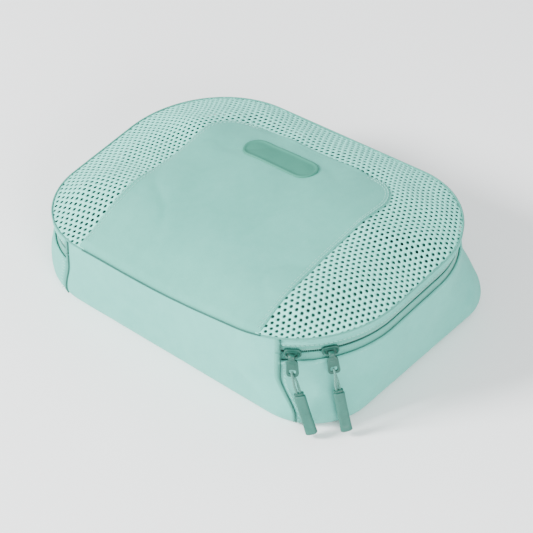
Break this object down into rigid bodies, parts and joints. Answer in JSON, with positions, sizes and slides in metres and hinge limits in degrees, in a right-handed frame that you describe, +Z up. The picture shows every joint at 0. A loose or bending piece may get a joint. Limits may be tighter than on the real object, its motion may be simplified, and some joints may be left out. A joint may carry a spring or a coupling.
{
  "type": "packing cube",
  "caption": "Low soft zip-round packing cube with a crowned net lid, a solid centre panel with a blank patch, and corded slider pulls.",
  "frame": {"origin": "centre of the flat base panel, on the surface it rests on", "axes": "+X along the hinged spine side towards the corner where the sliders are parked, +Y from the spine to the far side, +Z up"},
  "size_m": [0.2626, 0.183, 0.0835],
  "materials": {
    "shell_fabric": "mint woven polyester, matte with a faint sheen",
    "net": "pale mint warp-knit net",
    "patch_rubber": "satin moulded patch, blank",
    "trim": "mint binding and piping",
    "zip_tape": "ribbed mint zip tape",
    "zip_coil": "mint nylon coil",
    "slider_metal": "sea green enamel, satin",
    "cord": "braided cord",
    "grip_rubber": "satin moulded grip"
  },
  "bodies": {
    "case": {"base_panel": "shell_fabric", "side_wall": "shell_fabric", "spine_wall": "shell_fabric", "zipper_tape_lower": "zip_tape", "zipper_coil_lower": "zip_coil", "base_binding": "trim", "corner_seam_front": "trim", "corner_seam_left": "trim"},
    "lid": {"centre_panel": "shell_fabric", "mesh_window": "net", "label_patch": "patch_rubber", "lid_piping": "trim", "lid_band": "shell_fabric", "spine_strip": "shell_fabric", "zipper_tape_upper": "zip_tape", "zipper_coil_upper": "zip_coil", "lid_binding": "trim", "lid_seam_front": "trim", "lid_seam_left": "trim"},
    "slider_a": {"slider_a_body": "slider_metal", "slider_a_bail": "slider_metal"},
    "pull_a": {"pull_a_tab": "slider_metal"},
    "grip_a": {"pull_a_cord": "cord", "pull_a_collar": "grip_rubber", "pull_a_grip": "grip_rubber"},
    "slider_b": {"slider_b_body": "slider_metal", "slider_b_bail": "slider_metal"},
    "pull_b": {"pull_b_tab": "slider_metal"},
    "grip_b": {"pull_b_cord": "cord", "pull_b_collar": "grip_rubber", "pull_b_grip": "grip_rubber"}
  },
  "joints": [
    {"name": "lid_hinge", "type": "hinge", "parent": "case", "child": "lid", "pos_m": [0, -0.0909, 0.04446], "axis": [0.9968, 0, 0.0797], "range_deg": [0, 180]},
    {"name": "slider_a_travel", "type": "hinge", "parent": "case", "child": "slider_a", "pos_m": [0.057, -0.02, 0.05256], "axis": [-0.0796, -0.0498, 0.9956], "range_deg": [0, 4]},
    {"name": "pull_a_swing", "type": "hinge", "parent": "slider_a", "child": "pull_a", "pos_m": [0.096, -0.08242, 0.05256], "axis": [-0.8443, -0.5276, -0.0939], "range_deg": [0, 110]},
    {"name": "grip_a_swing", "type": "hinge", "parent": "pull_a", "child": "grip_a", "pos_m": [0.09867, -0.08465, 0.04108], "axis": [-0.8443, -0.5276, -0.0939], "range_deg": [0, 45]},
    {"name": "slider_b_travel", "type": "hinge", "parent": "case", "child": "slider_b", "pos_m": [0.057, -0.02, 0.05256], "axis": [-0.0796, -0.0498, 0.9956], "range_deg": [-5, 30]},
    {"name": "pull_b_swing", "type": "hinge", "parent": "slider_b", "child": "pull_b", "pos_m": [0.1142, -0.06632, 0.05471], "axis": [-0.6268, -0.7741, -0.0889], "range_deg": [0, 110]},
    {"name": "grip_b_swing", "type": "hinge", "parent": "pull_b", "child": "grip_b", "pos_m": [0.11772, -0.06786, 0.04334], "axis": [-0.6268, -0.7741, -0.0889], "range_deg": [0, 45]}
  ]
}
